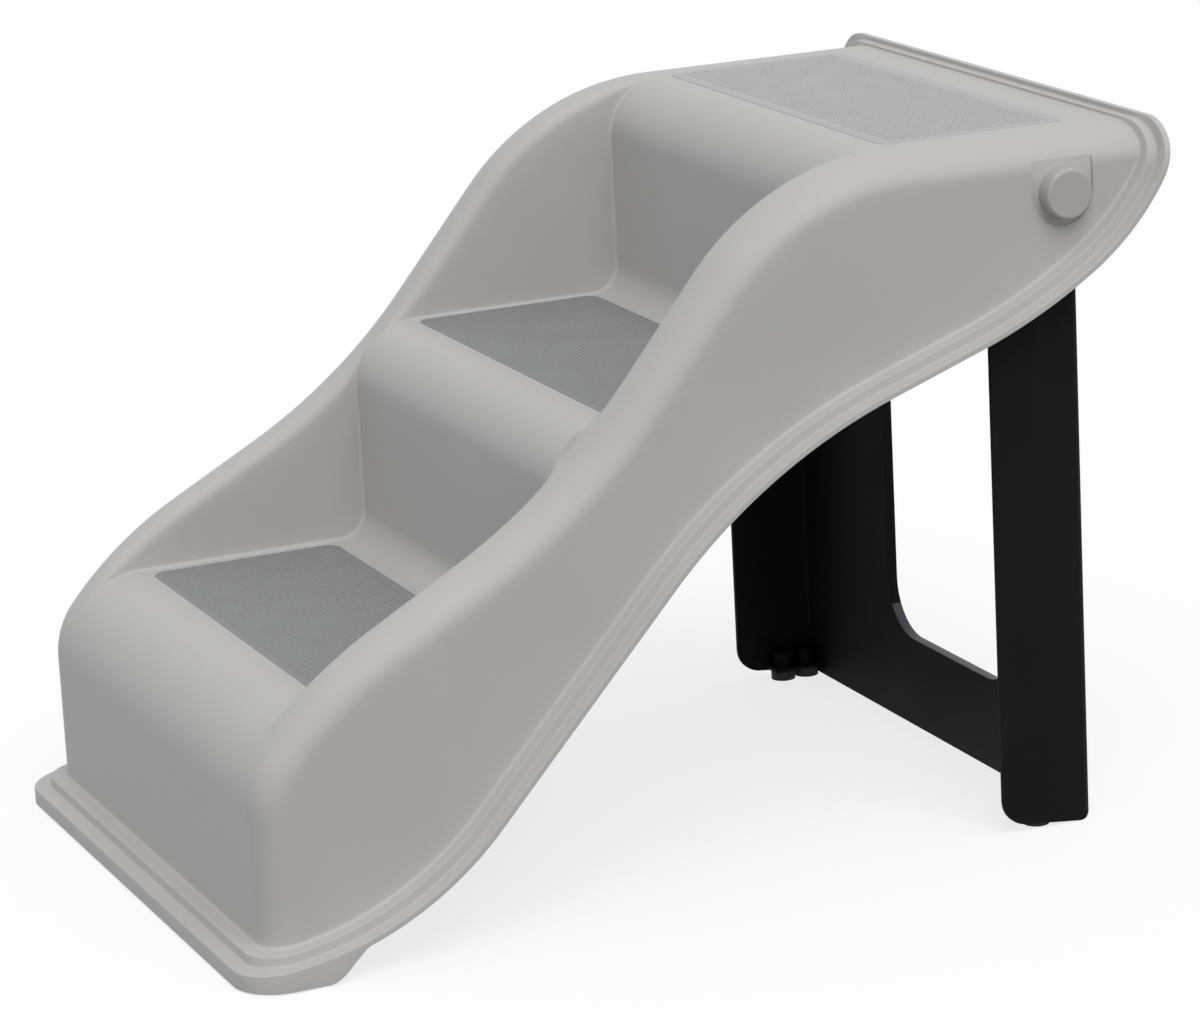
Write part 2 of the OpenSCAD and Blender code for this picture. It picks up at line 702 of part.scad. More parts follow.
module foot_screw(x, y) color([0.6, 0.6, 0.62]) translate([x, y, lip_t / 4]) {
    cylinder(d = screw_head_d, h = screw_head_t);
    cylinder(r = foot_screw_r, h = screw_l - lip_t / 4);
}

module leg_foot_screws() for (k = [-1, 1], y = leg_foot_y) foot_screw(k * leg_foot_x, y);
module front_foot_screws() for (k = [-1, 1]) foot_screw(k * front_foot_x, front_foot_y);

translate([0, -body_len / 2, 0]) {
    step_body();
    mat_low();
    mat_mid();
    mat_top();
    leg_frame();
    mirror([1, 0, 0]) pivot_pin();  // pivot_pin_left
    pivot_pin();  // pivot_pin_right
    mirror([1, 0, 0]) pivot_bush();  // pivot_bush_left
    pivot_bush();  // pivot_bush_right
    mirror([1, 0, 0]) pivot_washer();  // pivot_washer_left
    pivot_washer();  // pivot_washer_right
    mirror([1, 0, 0]) pivot_clip();  // pivot_clip_left
    pivot_clip();  // pivot_clip_right
    foot_pad(-leg_foot_x, leg_foot_y[0]);  // leg_foot_left_front
    foot_pad(-leg_foot_x, leg_foot_y[1]);  // leg_foot_left_back
    foot_pad(leg_foot_x, leg_foot_y[0]);  // leg_foot_right_front
    foot_pad(leg_foot_x, leg_foot_y[1]);  // leg_foot_right_back
    leg_foot_screws();
    foot_pad(-front_foot_x, front_foot_y);  // front_foot_left
    foot_pad(front_foot_x, front_foot_y);  // front_foot_right
    front_foot_screws();
}
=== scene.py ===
import math

import bmesh
import bpy
import numpy as np
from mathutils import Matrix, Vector


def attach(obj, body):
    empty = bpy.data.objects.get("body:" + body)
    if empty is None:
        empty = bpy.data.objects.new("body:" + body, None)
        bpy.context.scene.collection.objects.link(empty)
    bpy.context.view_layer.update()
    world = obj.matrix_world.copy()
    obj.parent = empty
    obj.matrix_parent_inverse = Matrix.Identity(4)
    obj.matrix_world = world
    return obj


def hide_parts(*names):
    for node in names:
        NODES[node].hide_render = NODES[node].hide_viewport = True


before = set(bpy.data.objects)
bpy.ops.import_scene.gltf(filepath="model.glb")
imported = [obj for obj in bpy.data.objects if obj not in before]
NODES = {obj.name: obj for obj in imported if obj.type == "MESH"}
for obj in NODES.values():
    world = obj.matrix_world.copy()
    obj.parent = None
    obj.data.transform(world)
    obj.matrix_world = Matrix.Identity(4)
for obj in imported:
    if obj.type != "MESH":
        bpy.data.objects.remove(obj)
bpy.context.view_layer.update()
SIDES = ((-1, "left"), (1, "right"))

# Sizes are in millimetres, with y from the front lip, and are the solids' where nothing else is
# said. The rim is a ledge with a lip outside it, and their heights are over the lip's lower edge.
LEDGE, LIP, LIP_T, RIM_H, LIP_R = 9.5, 9.5, 3.5, 9.5, 27.0
FRONT_Y = LEDGE + LIP
FIRST_RISE, RISE, FIRST_GOING, GOING, PLATFORM = 149.0, 135.5, 202.0, 180.0, 189.0
FIRST_NOSE_R, NOSE_R, FOOT_R = 52.0, 36.0, 18.0
NOSES = (FIRST_NOSE_R, NOSE_R, NOSE_R)
RISER_Y = [FRONT_Y, FRONT_Y + FIRST_GOING, FRONT_Y + FIRST_GOING + GOING]
TREAD_Z = [FIRST_RISE, FIRST_RISE + RISE, FIRST_RISE + 2 * RISE]
BODY_LEN = RISER_Y[2] + PLATFORM + LEDGE
TOP_Z = TREAD_Z[2]
SLOPE = math.atan2(RISE, GOING)
WALL, WALL_HALF, TOE_IN = 3.0, 193.5, math.tan(math.radians(1.17))
RAIL_W, RAIL_OUT, RAIL_IN = 31.0, 18.0, 9.0
HINGE_Y, HINGE_Z = BODY_LEN - 64, TOP_Z - 32.3
POCKET_R, POCKET_X, POCKET_OUT, POCKET_TOP = 20.0, WALL_HALF - 1.5, WALL_HALF + 6, TOP_Z - 5

# Height and heading of the rim's lower edge at the front. Here the solids' rim is 3.5 mm lower.
LIP_LIFT, RIM_START = 7.5, 5.0
# The back corners of the ledge and the lip: heights over the platform, and radii in x and in z
BACK_H, BACK_RX, BACK_RZ = (1.8, 4.5), (29.0, 28.0), (24.0, 28.0)
# The skirt under the front rim, which reaches down to the feet
SKIRT_Y = (-10, 49, 53, 58, 65, 73, 80)
SKIRT_Z = (1, 1, 2.2, 5.5, 12.5, 20, 40)
# Small roundings of the shell (tread to rail, wall to rim, the rim's edges) and the rails' draft
FILLET, FOOT_F, RIM_EDGE, DRAFT = 2.5, 2.0, 0.7, 0.4
# The rail's radii grow with its height over the stair, to 63% of their full size at this height
RAIL_FADE = 14.0

# Curves in the side view: a start, a heading in degrees, and steps of (turn, size). A turn of 0 is
# a straight of that length, any other turn is an arc of that radius, positive to the left. Points
# are set every TURN_STEP degrees or RUN_STEP mm, and the walls' curves start at CURVE_Z.
TURN_STEP, RUN_STEP, CURVE_Z = 1.5, 3.0, 8.0
# Arcs of the rails' crest and of the rim's lower edge: (radius, heading before, heading after)
CREST_ARCS = ((52, 90, 50), (236, 50, 28), (350, 28, 50), (163, 50, 0))
RIM_ARCS = ((202, RIM_START, 47), (346, 47, 19), (342, 19, 33), (158, 33, 56), (60, 56, 90))
# How far the rim's edge starts in front of the lip, ends short of the back, and runs on upward
RIM_AHEAD, RIM_SHORT, RIM_UP = 3.0, 0.3, 14.0


def ahead(h):
    a = math.radians(h)
    return np.array([math.cos(a), math.sin(a)])


def left(h):
    a = math.radians(h)
    return np.array([-math.sin(a), math.cos(a)])


def bend(r, h1, h2):
    return math.copysign(1, h2 - h1) * r * (left(h1) - left(h2))


def after(p, h, turn, size, f=1.0):
    """Place and heading after a share of a step."""
    if turn:
        return p + bend(size, h, h + turn * f), h + turn * f
    return p + size * f * ahead(h), h


def trace(p, h, steps):
    """Points and left-hand normals along a curve, close together."""
    p, out = np.array(p, float), []
    for turn, size in steps:
        n = max(2, int(abs(turn) / TURN_STEP if turn else size / RUN_STEP))
        for k in range(n):
            q, heading = after(p, h, turn, size, k / n)
            out.append((q, left(heading)))
        p, h = after(p, h, turn, size)
    out.append((p, left(h)))
    return np.array([o[0] for o in out]), np.array([o[1] for o in out])


def straights(gap, a, b):
    """Lengths of two straights with headings a and b that together cover a gap."""
    a, b = math.radians(a), math.radians(b)
    det = math.cos(a) * math.sin(b) - math.cos(b) * math.sin(a)
    return ((gap[0] * math.sin(b) - math.cos(b) * gap[1]) / det,
            (math.cos(a) * gap[1] - math.sin(a) * gap[0]) / det)


def through_arcs(start, end, arcs, k):
    """Steps from start to end through arcs, with straights after arc k and after the next arc."""
    gap = end - start
    for arc in arcs:
        gap = gap - bend(*arc)
    a, b = straights(gap, arcs[k][2], arcs[k + 1][2])
    steps = [(h2 - h1, r) for r, h1, h2 in arcs]
    steps.insert(k + 2, (0, b))
    steps.insert(k + 1, (0, a))
    return steps


class Curve:
    """A side-view curve that can be moved to its left, and read as n over t along the slope."""

    def __init__(self, p, h, steps):
        self.pts, self.nrm = trace(p, h, steps)
        self.kept = {}

    def moved(self, off):
        key = round(float(off), 3)
        if key not in self.kept:
            q = self.pts + key * self.nrm
            t, n = to_tn(q[:, 0], q[:, 1])
            keep = np.concatenate([[True], t[1:] > np.maximum.accumulate(t)[:-1] + 1e-6])
            self.kept[key] = (t[keep], n[keep], q[keep, 0], q[keep, 1])
        return self.kept[key]

    def n(self, t, off=0.0):
        a = self.moved(off)
        return np.interp(t, a[0], a[1])

    def z_at(self, y, off):
        a = self.moved(off)
        return np.interp(y, a[2], a[3])

    def y_at(self, z, off):
        a = self.moved(off)
        return np.interp(z, a[3], a[2])


def to_tn(y, z):
    c, s = math.cos(SLOPE), math.sin(SLOPE)
    return y * c + z * s, z * c - y * s


def to_yz(t, n):
    c, s = math.cos(SLOPE), math.sin(SLOPE)
    return t * c - n * s, t * s + n * c


def make_curves():
    """The treads and risers, the rails' crest and the rim's lower edge."""
    front = TREAD_Z[0] - FIRST_NOSE_R
    riser = [(90, FOOT_R), (0, RISE - FOOT_R - NOSE_R), (-90, NOSE_R)]
    stair = Curve((FRONT_Y, CURVE_Z), 90, [
        (0, front - CURVE_Z), (-90, FIRST_NOSE_R),
        (0, RISER_Y[1] - FOOT_R - RISER_Y[0] - FIRST_NOSE_R), *riser,
        (0, GOING - NOSE_R - FOOT_R), *riser, (0, BODY_LEN - RISER_Y[2] - NOSE_R)])
    start, end = np.array([FRONT_Y, front]), np.array([RISER_Y[2] + NOSE_R, TOP_Z])
    crest = Curve((FRONT_Y, CURVE_Z), 90, [
        (0, front - CURVE_Z), *through_arcs(start, end, CREST_ARCS, 1), (0, BODY_LEN - end[0])])
    tilt = math.radians(RIM_START)
    start = np.array([LIP_R, LIP_LIFT + LIP_R * math.tan(tilt)])
    end = np.array([BODY_LEN - RIM_SHORT, TOP_Z])
    run = LIP_R / math.cos(tilt) + RIM_AHEAD
    rim = Curve(start - run * ahead(RIM_START), RIM_START, [
        (0, run), *through_arcs(start, end, RIM_ARCS, 0), (0, RIM_UP)])
    return stair, crest, rim


STAIR, CREST, RIM = make_curves()

# Inner grid: columns from the middle of the treads over the rail's crest to the outer wall. Each
# is a part of the section with a share of its width or an angle on its arc.
COLS = [("tread", s) for s in np.linspace(0, 1, 7)[:-1]] + \
    [("fillet", a) for a in np.linspace(0, 90, 6)] + \
    [("wall", s) for s in np.linspace(0, 1, 7)[1:-1]] + \
    [("inner", a) for a in np.linspace(0, 90, 6)] + \
    [("outer", a) for a in np.linspace(0, 90, 11)]
ROWS, WALL_ROWS = 356, 14
# Over this length at both ends the rows move to where their column meets the rim
ROW_BLEND = 70.0
# Table of offset curves that offset_n reads: the step between them and their number
OFFSET_STEP, OFFSETS = 0.5, 20


def inner_x(t):
    """Inner wall of a rail, which toes in towards the top."""
    return WALL_HALF - RAIL_W - t * TOE_IN


def round_x(t):
    """Width of the rounding from a rail's crest to its outer wall."""
    return RAIL_OUT + t * TOE_IN


def depth(col):
    """How far a column of the outer rounding lies inside the crest's curve."""
    return RAIL_OUT * (1 - math.cos(math.radians(col[1]))) if col[0] == "outer" else 0.0


def rail_share(t):
    """Share of their full size that the rail's radii have at slope stations t."""
    return 1 - np.exp(-np.maximum(CREST.n(t) - STAIR.n(t), 0) / RAIL_FADE)


def offset_n(curve, t, off):
    """Height of a curve moved by an offset that changes along it."""
    sign = 1 if np.max(off) > 0 else -1
    table = np.stack([curve.n(t, sign * OFFSET_STEP * s) for s in range(OFFSETS + 1)])
    i = np.clip(np.abs(off) / OFFSET_STEP, 0, OFFSETS - 0.001)
    j = i.astype(int)
    f = i - j
    k = np.arange(len(t))
    return table[j, k] * (1 - f) + table[j + 1, k] * f


def section(col, t):
    """(x, y, z) of a column of the inner grid at slope stations t."""
    kind, v = col
    k, inner = rail_share(t), inner_x(t)
    a = math.radians(v) if kind in ("fillet", "inner", "outer") else 0
    if kind == "tread":
        x, n = v * (inner - FILLET), STAIR.n(t)
    elif kind == "fillet":
        x = inner - FILLET * (1 - math.sin(a))
        n = offset_n(STAIR, t, FILLET * k * (1 - math.cos(a)))
    elif kind == "wall":
        x = inner + DRAFT * v
        n = (1 - v) * offset_n(STAIR, t, FILLET * k) + v * offset_n(CREST, t, -RAIL_IN * k)
    elif kind == "inner":
        x = inner + DRAFT + RAIL_IN * (1 - math.cos(a))
        n = offset_n(CREST, t, -RAIL_IN * k * (1 - math.sin(a)))
    else:
        x, n = WALL_HALF - round_x(t) * (1 - math.sin(a)), CREST.n(t, -depth(col))
    y, z = to_yz(t, n)
    return np.stack([x, y, z], -1)


def blend_rows(base, t0, t1):
    """Rows shifted at both ends so that a column starts at t0 and ends at t1."""
    w0 = np.clip(1 - (base - base[0]) / ROW_BLEND, 0, 1) ** 2
    w1 = np.clip(1 - (base[-1] - base) / ROW_BLEND, 0, 1) ** 2
    return base + (t0 - base[0]) * w0 + (t1 - base[-1]) * w1


def col_ends(col):
    """Slope stations where a column meets the rim's foot at the front and at the back."""
    off, y0, z1 = RIM_H + FOOT_F, FRONT_Y + depth(col), TOP_Z - depth(col)
    return (float(to_tn(y0, RIM.z_at(y0, off))[0]), float(to_tn(RIM.y_at(z1, off), z1)[0]))


def front_point(col, u, off, first):
    """Rim point in front of a column, u outside the wall and off over the lip's lower edge."""
    f = u / (LEDGE + LIP)
    start = round_x(to_tn(first[1], first[2])[0])
    rx, ry = start * (1 - f) + LIP_R * f, RAIL_OUT * (1 - f) + LIP_R * f
    cx, cy = WALL_HALF + u - rx, FRONT_Y - u + ry
    if col[0] == "outer":
        a = math.radians(col[1])
        x, y = cx + rx * math.sin(a), cy - ry * math.cos(a)
    else:
        x, y = first[0] * cx / (WALL_HALF - start), cy - ry
    return np.array([x, y, float(RIM.z_at(y, off))])


def back_point(col, u, off, last):
    """Rim point behind a column, on the ledge and the lip that stand over the platform's edge."""
    us = [0, LEDGE, LEDGE + LIP]
    start = round_x(to_tn(last[1], last[2])[0])
    rx, rz = np.interp(u, us, [start, *BACK_RX]), np.interp(u, us, [RAIL_OUT, *BACK_RZ])
    a = math.radians(col[1]) if col[0] == "outer" else 0.0
    z = TOP_Z + np.interp(u, us, [0, *BACK_H]) - rz * (1 - math.cos(a))
    y = float(RIM.y_at(min(z, TOP_Z + RIM_UP - 1), off))
    if col[0] == "outer":
        return np.array([WALL_HALF + u - rx * (1 - math.sin(a)), y, z])
    return np.array([last[0] * (WALL_HALF + u - rx) / (WALL_HALF - start), y, z])


def arc_stations(c, r, a0, a1, n):
    return [(c[0] + r * math.cos(math.radians(a)), c[1] + r * math.sin(math.radians(a)))
            for a in np.linspace(a0, a1, n)]


def rim_profile():
    """(u, offset) stations from the wall's foot out to the lip's lower edge."""
    e = RIM_EDGE
    return (arc_stations((FOOT_F, RIM_H + FOOT_F), FOOT_F, 180, 270, 5)
            + arc_stations((LEDGE - e, RIM_H - e), e, 90, 0, 4)
            + arc_stations((LEDGE + e, LIP_T + e), e, 180, 270, 4)
            + arc_stations((LEDGE + LIP - e, LIP_T - e), e, 90, 0, 4)
            + [(LEDGE + LIP, 0.0)])


class Mesh:
    def __init__(self):
        self.v, self.f = [], []

    def points(self, pts):
        i = len(self.v)
        self.v.extend([tuple(p) for p in pts])
        return list(range(i, i + len(pts)))

    def grid(self, rows):
        """Quads between lists of vertex numbers, leaving out collapsed ones."""
        for a, b in zip(rows, rows[1:]):
            for p, q, r, s in zip(a, a[1:], b[1:], b):
                face = []
                for i in (p, q, r, s):
                    if i not in face:
                        face.append(i)
                if len(face) > 2:
                    self.f.append(tuple(face))

    def mirrored(self):
        """Vertices and faces of both halves, joined in the middle and facing out."""
        n = len(self.v)
        verts = self.v + [(-x, y, z) for x, y, z in self.v]
        other = [i if abs(p[0]) < 1e-6 else i + n for i, p in enumerate(self.v)]
        faces = self.f + [tuple(other[i] for i in reversed(face)) for face in self.f]
        return verts, [face[::-1] for face in faces]


def inner_grid(m):
    """The treads, risers and rails: each column's vertex numbers, and the last one's stations."""
    ends = [col_ends(c) for c in COLS]
    base = np.linspace(*ends[0], ROWS)
    stations = [blend_rows(base, t0, t1) for t0, t1 in ends]
    grid = [m.points(section(col, t)) for col, t in zip(COLS, stations)]
    m.grid(grid)
    return grid, stations[-1]


def outer_wall(m, crest, side_t):
    """The wall from the crest's last column down to the rim's foot: vertex numbers of that foot."""
    top = np.array([m.v[i] for i in crest])
    y, z = to_yz(side_t, RIM.n(side_t, RIM_H + FOOT_F))
    bottom = np.stack([np.full(ROWS, WALL_HALF), y, z], -1)
    bottom[0], bottom[-1] = top[0], top[-1]
    wall = [crest]
    for k in range(1, WALL_ROWS + 1):
        f = k / WALL_ROWS
        pts = top * (1 - f) + bottom * f
        wall.append([crest[0]] + m.points(pts[1:-1]) + [crest[-1]])
    m.grid(wall)
    return wall[-1]


def rim_loops(m, grid, foot, side_t):
    """The rim, in loops round the front, the side and the back."""
    loops = [[c[0] for c in grid] + foot[1:-1] + [c[-1] for c in reversed(grid)]]
    first, last = [m.v[c[0]] for c in grid], [m.v[c[-1]] for c in grid]
    for u, off in rim_profile()[1:]:
        front = [front_point(c, u, off, p) for c, p in zip(COLS, first)]
        back = [back_point(c, u, off, p) for c, p in zip(COLS, last)]
        ends = [to_tn(p[1], p[2])[0] for p in (front[-1], back[-1])]
        t = blend_rows(side_t, *ends)[1:-1]
        y, z = to_yz(t, RIM.n(t, off))
        side = np.stack([np.full(len(t), WALL_HALF + u), y, z], -1)
        pts = np.concatenate([front, side, back[::-1]])
        if off == 0.0:
            low = pts[:, 1] < SKIRT_Y[-1]
            pts[low, 2] = np.minimum(pts[low, 2], np.interp(pts[low, 1], SKIRT_Y, SKIRT_Z))
        loops.append(m.points(pts))
    m.grid(loops)


# Edges sharper than this, in degrees, are drawn sharp: by default, on the shell, on the mats, and
# where edges were softened
SHARP, SHELL_SHARP, MAT_SHARP, SOFT_SHARP = 35, 40, 25, 40


def add_object(name, verts, faces, body="body", slot=None, smooth=SHARP):
    mesh = bpy.data.meshes.new(name)
    v = np.array(verts, float)
    v[:, 1] -= BODY_LEN / 2
    mesh.from_pydata((v * 0.001).tolist(), [], faces)
    mesh.validate()
    obj = bpy.data.objects.new(name, mesh)
    bpy.context.collection.objects.link(obj)
    shade(mesh, smooth)
    if body:
        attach(obj, body)
    return obj


def shade(mesh, smooth):
    mesh.shade_smooth()
    mesh.set_sharp_from_angle(angle=math.radians(smooth))


def cut_and_join(obj, steps, smooth=SHARP):
    """Boolean steps with plain solids, made into the object's own mesh."""
    tools = []
    for operation, solid in steps:
        tool = add_object("tool", *solid, body=None)
        step = obj.modifiers.new("step", "BOOLEAN")
        step.operation, step.solver, step.object = operation, "EXACT", tool
        tools.append(tool)
    done = obj.evaluated_get(bpy.context.evaluated_depsgraph_get())
    mesh = bpy.data.meshes.new_from_object(done)
    obj.modifiers.clear()
    obj.data = mesh
    shade(mesh, smooth)
    for tool in tools:
        bpy.data.objects.remove(tool)


def soften(obj, width):
    """Rounds every sharp edge."""
    bm = bmesh.new()
    bm.from_mesh(obj.data)
    bmesh.ops.remove_doubles(bm, verts=bm.verts, dist=2e-5)
    sharp = [e for e in bm.edges
             if len(e.link_faces) == 2 and e.calc_face_angle(0) > math.radians(SHARP)]
    bmesh.ops.bevel(bm, geom=sharp, offset=width * 0.001, segments=3, profile=0.5, affect="EDGES",
                    clamp_overlap=True)
    bm.to_mesh(obj.data)
    bm.free()
    shade(obj.data, SOFT_SHARP)


def bevelled(obj, width, mat):
    bevel = obj.modifiers.new("edges", "BEVEL")
    bevel.width, bevel.segments, bevel.limit_method = width * 0.001, 2, "ANGLE"
    obj.data.materials.append(mat)


def extruded(outline, a, b, place, flip=False):
    """Solid between two depths. place makes an outline's point and a depth into (x, y, z)."""
    n = len(outline)
    verts = [place(p, q, d) for d in (a, b) for p, q in outline]
    near, far = tuple(range(n)), tuple(range(n, 2 * n))
    if flip:
        return verts, [near, far[::-1]] + [(i, n + i, n + (i + 1) % n, (i + 1) % n) for i in near]
    return verts, [near[::-1], far] + [(i, (i + 1) % n, n + (i + 1) % n, n + i) for i in near]


def prism(outline, x0, x1):
    """Solid with a (y, z) outline that runs anticlockwise seen from +X, between two places in x."""
    return extruded(outline, *sorted((x0, x1)), lambda y, z, x: (x, y, z))


def upright(outline, z0, z1):
    """Solid with an (x, y) outline that runs anticlockwise seen from above, between two heights."""
    return extruded(outline, z0, z1, lambda x, y, z: (x, y, z))


def through(outline, y0, y1):
    """Solid with an (x, z) outline that runs anticlockwise seen from the front, from y0 to y1."""
    return extruded(outline, y0, y1, lambda x, z, y: (x, y, z), flip=True)


def circle(c, r, n=32):
    return [(c[0] + r * math.cos(2 * math.pi * k / n), c[1] + r * math.sin(2 * math.pi * k / n))
            for k in range(n)]


def u_shape(r, top, n=32):
    """Outline in (y, z) of a plate that is round under the hinge and runs up to a height."""
    a = [math.pi + math.pi * k / n for k in range(n + 1)]
    return [(HINGE_Y + r * math.cos(t), HINGE_Z + r * math.sin(t)) for t in a] \
        + [(HINGE_Y + r, top), (HINGE_Y - r, top)]


def build_shell(mat):
    m = Mesh()
    grid, side_t = inner_grid(m)
    rim_loops(m, grid, outer_wall(m, grid[-1], side_t), side_t)
    obj = add_object("body_shell", *m.mirrored(), slot="shell", smooth=SHELL_SHARP)
    solid = obj.modifiers.new("wall", "SOLIDIFY")
    solid.thickness, solid.offset = WALL * 0.001, -1
    pocket = u_shape(POCKET_R, POCKET_TOP)
    cut_and_join(obj, [("DIFFERENCE", prism(pocket, k * POCKET_X, k * POCKET_OUT))
                       for k, _ in SIDES], SHELL_SHARP)
    obj.data.materials.append(mat)
    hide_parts("step_body")


# Mats: a sheet with a net of small pits, laid into each tread. The pits' floors take a darker grey,
# which is painted shade in the pits.
MAT_W, MAT_D, MAT_R, MAT_FRONT, MAT_PROUD = 300.0, 122.0, 9.0, 4.0, 0.5
PITCH, PIT_R, PIT_DEPTH = 4.2, 1.25, 0.4
# Width of the border without pits, for each mat
PLAIN_EDGE = (3.5, 3.5, 6.5)
# (inset, z) of the rings round a mat, from its face over the rounded edge to its underside
MAT_RINGS = ((0.5, 0.0), (0.12, -0.15), (0.0, -0.5), (0.0, -1.6))


def round_rect(inset, n=8):
    x, y, r = MAT_W / 2 - inset, MAT_D / 2 - inset, MAT_R - inset
    out = []
    for k, (sx, sy) in enumerate([(1, 1), (-1, 1), (-1, -1), (1, -1)]):
        for a in np.radians(np.linspace(90 * k, 90 * k + 90, n + 1)):
            out.append((sx * (x - r) + r * math.cos(a), sy * (y - r) + r * math.sin(a)))
    return out


def add_pits(bm, plain):
    """Six-sided cells with a pit in each, up to the plain border."""
    corners = {}

    def corner(x, y):
        key = (round(x, 2), round(y, 2))
        if key not in corners:
            corners[key] = bm.verts.new((x, y, 0.0))
        return corners[key]

    row, cell = PITCH * math.sqrt(3) / 2, PITCH / math.sqrt(3)
    across, along = int(MAT_W / PITCH / 2) + 1, int(MAT_D / row / 2) + 1
    rays = [(math.cos(a), math.sin(a)) for a in [math.radians(30 + 60 * k) for k in range(6)]]
    for b in range(-along, along + 1):
        for a in range(-across, across + 1):
            cx, cy = (a + (b % 2) / 2) * PITCH, b * row
            if abs(cx) > MAT_W / 2 - plain or abs(cy) > MAT_D / 2 - plain:
                continue
            top = [corner(cx + cell * c, cy + cell * s) for c, s in rays]
            low = [bm.verts.new((cx + PIT_R * c, cy + PIT_R * s, -PIT_DEPTH)) for c, s in rays]
            for k in range(6):
                bm.faces.new((top[k], top[(k + 1) % 6], low[(k + 1) % 6], low[k]))
            # the pit's floor gets material 1, a darker grey that is painted shade in the pit
            bm.faces.new(low).material_index = 1


def build_mat(node, i, mats, slot):
    bm = bmesh.new()
    add_pits(bm, PLAIN_EDGE[i])
    edge = [e for e in bm.edges if e.is_boundary]
    rings = [[bm.verts.new((x, y, z)) for x, y in round_rect(inset)] for inset, z in MAT_RINGS]
    for a, b in zip(rings, rings[1:]):
        for k in range(len(a)):
            bm.faces.new((a[k], b[k], b[(k + 1) % len(b)], a[(k + 1) % len(a)]))
    bm.faces.new(list(reversed(rings[-1])))
    outer = set(rings[0])
    edge += [e for e in bm.edges if all(v in outer for v in e.verts)]
    fill = bmesh.ops.triangle_fill(bm, use_beauty=True, edges=edge)
    for f in fill["geom"]:
        if isinstance(f, bmesh.types.BMFace) and f.normal.z < 0:
            f.normal_flip()
    bmesh.ops.recalc_face_normals(bm, faces=bm.faces)
    y0, z0 = RISER_Y[i] + NOSES[i] + MAT_FRONT + MAT_D / 2, TREAD_Z[i] + MAT_PROUD
    verts = [(v.co.x, v.co.y + y0, v.co.z + z0) for v in bm.verts]
    bm.verts.index_update()
    faces = [tuple(v.index for v in f.verts) for f in bm.faces]
    index = [f.material_index for f in bm.faces]
    bm.free()
    obj = add_object(node + "_sheet", verts, faces, slot=slot, smooth=MAT_SHARP)
    for m in mats:
        obj.data.materials.append(m)
    obj.data.polygons.foreach_set("material_index", index)
    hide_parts(node)


# Leg: two side plates and a thick back panel with a window, as one moulded piece. The solids have a
# thin panel with ribs and larger corners, and their side plates start LEG_FRONT before the hinge.
LEG_HALF, LEG_T, PANEL_D, LEG_FRONT = 186.7, 3.0, 6.5, 49.5
LEG_ROUND, LEG_ROUND_IN = 6.0, 3.0
LEG_HEAD = 13.0
LEG_Y0, LEG_Y1, LEG_TOP = HINGE_Y - 47.1, HINGE_Y + LEG_HEAD, HINGE_Z + LEG_HEAD
LEG_IN = LEG_HALF - LEG_T
LEG_LIFT, LEG_SLANT, TOE_R, HEEL_R = 0.4, 4.2, 16.5, 8.0
SHOULDER_Z = HINGE_Z - 70.0
# The window's x from and to, its z from and to, and its corners' radius
WINDOW = (-64.0, 101.0, 59.0, SHOULDER_Z, 33.0)
# The bush's seat, the boss round it from BOSS_IN to the plate, and the room round the pin's clip
BUSH_R, BOSS_IN, CLIP_ROOM = 9.05, 171.7, 10.4
# The shelves over the feet: inner x and front y, and the bosses for the screws on them
SHELF_IN, SHELF_Y, FOOT_H = 166.7, 507.5, 6.0
FOOT_X, FOOT_Y = 174.7, (516.5, 533.5)
SCREW_R, SCREW_BOSS_R, SCREW_L = 2.0, 5.5, 12.0
# Radii of the softened edges, and how far pieces of the leg run into each other
LEG_EDGE, BOSS_EDGE, SHELF_EDGE, OVERLAP = 0.7, 0.5, 0.4, 0.2
# Where the solids that cut the leg start and end, all past what they cut
SIDE_CUT, PANEL_CUT = (-200, 200), (LEG_Y1 - 10, LEG_Y1 + 5)
PLATE_CUT, CLIP_CUT, BOSS_CUT, SCREW_CUT = (180, 190), 150, (160, 190), (0, 40)


def rod(axis, c, r, a0, a1):
    """Cylinder along x or z through a centre given in the other two coordinates."""
    return (prism if axis == "x" else upright)(circle(c, r), a0, a1)


def leg_plan():
    """Outline from above: a U of side plates and panel, 2 mm longer than leg_side leaves it."""
    r, r_in, y_in, end = LEG_ROUND, LEG_ROUND_IN, LEG_Y1 - PANEL_D, LEG_Y0 - 2
    outer = [(LEG_HALF, end)] + arc_stations((LEG_HALF - r, LEG_Y1 - r), r, 0, 90, 9)
    inner = [(LEG_IN, end)] + arc_stations((LEG_IN - r_in, y_in - r_in), r_in, 0, 90, 5)
    return outer + [(-x, y) for x, y in reversed(outer)] + [(-x, y) for x, y in inner] + inner[::-1]


def leg_side():
    """Outline from the side: a rounded toe, a slanted foot, the heel and the round head."""
    return (arc_stations((LEG_Y0 + TOE_R, LEG_LIFT + LEG_SLANT + TOE_R), TOE_R, 180, 266, 9)
            + arc_stations((LEG_Y1 - HEEL_R, LEG_LIFT + HEEL_R), HEEL_R, 270, 360, 7)
            + [(LEG_Y1, LEG_TOP), (HINGE_Y, LEG_TOP)]
            + arc_stations((HINGE_Y, HINGE_Z), LEG_HEAD, 97.5, 172.5, 11)
            + [(LEG_Y0, SHOULDER_Z)])


def window_outline():
    x0, x1, z0, z1, r = WINDOW
    corners = ((x1 - r, z1 - r), (x0 + r, z1 - r), (x0 + r, z0 + r), (x1 - r, z0 + r))
    return [p for k, c in enumerate(corners) for p in arc_stations(c, r, 90 * k, 90 * k + 90, 13)]


